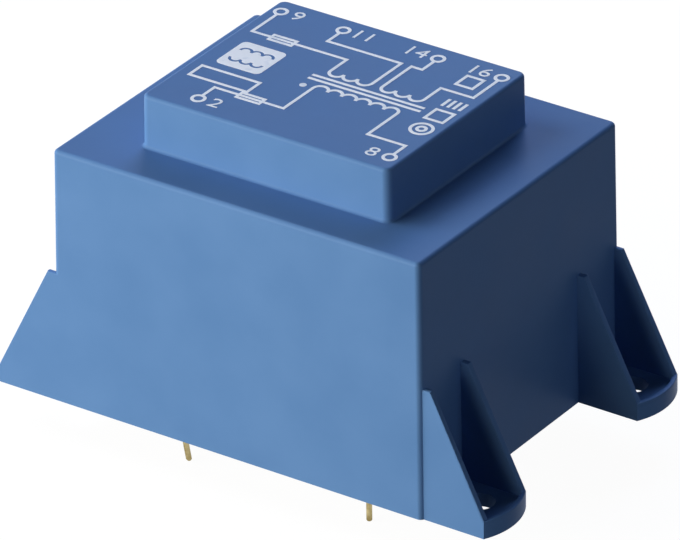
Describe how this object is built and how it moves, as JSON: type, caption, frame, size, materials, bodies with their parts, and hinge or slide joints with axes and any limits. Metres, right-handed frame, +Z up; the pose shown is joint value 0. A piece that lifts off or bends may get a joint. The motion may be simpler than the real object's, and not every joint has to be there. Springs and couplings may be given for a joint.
{
  "type": "pcb transformer",
  "caption": "Encapsulated transformer for a printed circuit board, in a moulded case with a raised block, gusseted screw feet at both ends and round solder pins below.",
  "frame": {"origin": "centre of the case's open underside, which is the centre of the four screw holes at the feet's underside", "axes": "+X along the long sides, +Y from the row of two pins to the row of four pins, +Z up from the pins to the raised block"},
  "size_m": [0.0794, 0.0474, 0.0513],
  "materials": {
    "case_plastic": "satin moulded blue thermoplastic",
    "resin": "cast black resin",
    "core_steel": "oxide-coated silicon steel",
    "bobbin_plastic": "natural glass-filled nylon",
    "copper_wire": "enamelled copper wire, packed turns",
    "tape": "yellow polyester winding tape",
    "pin_metal": "tinned brass wire",
    "solder": "tin solder"
  },
  "bodies": {
    "root": {"case": "case_plastic", "case_block": "case_plastic", "potting_resin": "resin", "block_resin": "resin", "e_laminations": "core_steel", "i_laminations": "core_steel", "bobbin": "bobbin_plastic", "primary_winding": "copper_wire", "primary_tape": "tape", "secondary_winding_a": "copper_wire", "secondary_interlayer_tape": "tape", "secondary_winding_b": "copper_wire", "secondary_tape": "tape", "primary_pin_1": "pin_metal", "primary_pin_2": "pin_metal", "secondary_pin_1": "pin_metal", "secondary_pin_2": "pin_metal", "secondary_pin_3": "pin_metal", "secondary_pin_4": "pin_metal", "primary_solder_1": "solder", "primary_solder_2": "solder", "secondary_solder_1": "solder", "secondary_solder_2": "solder", "secondary_solder_3": "solder", "secondary_solder_4": "solder"}
  },
  "joints": []
}
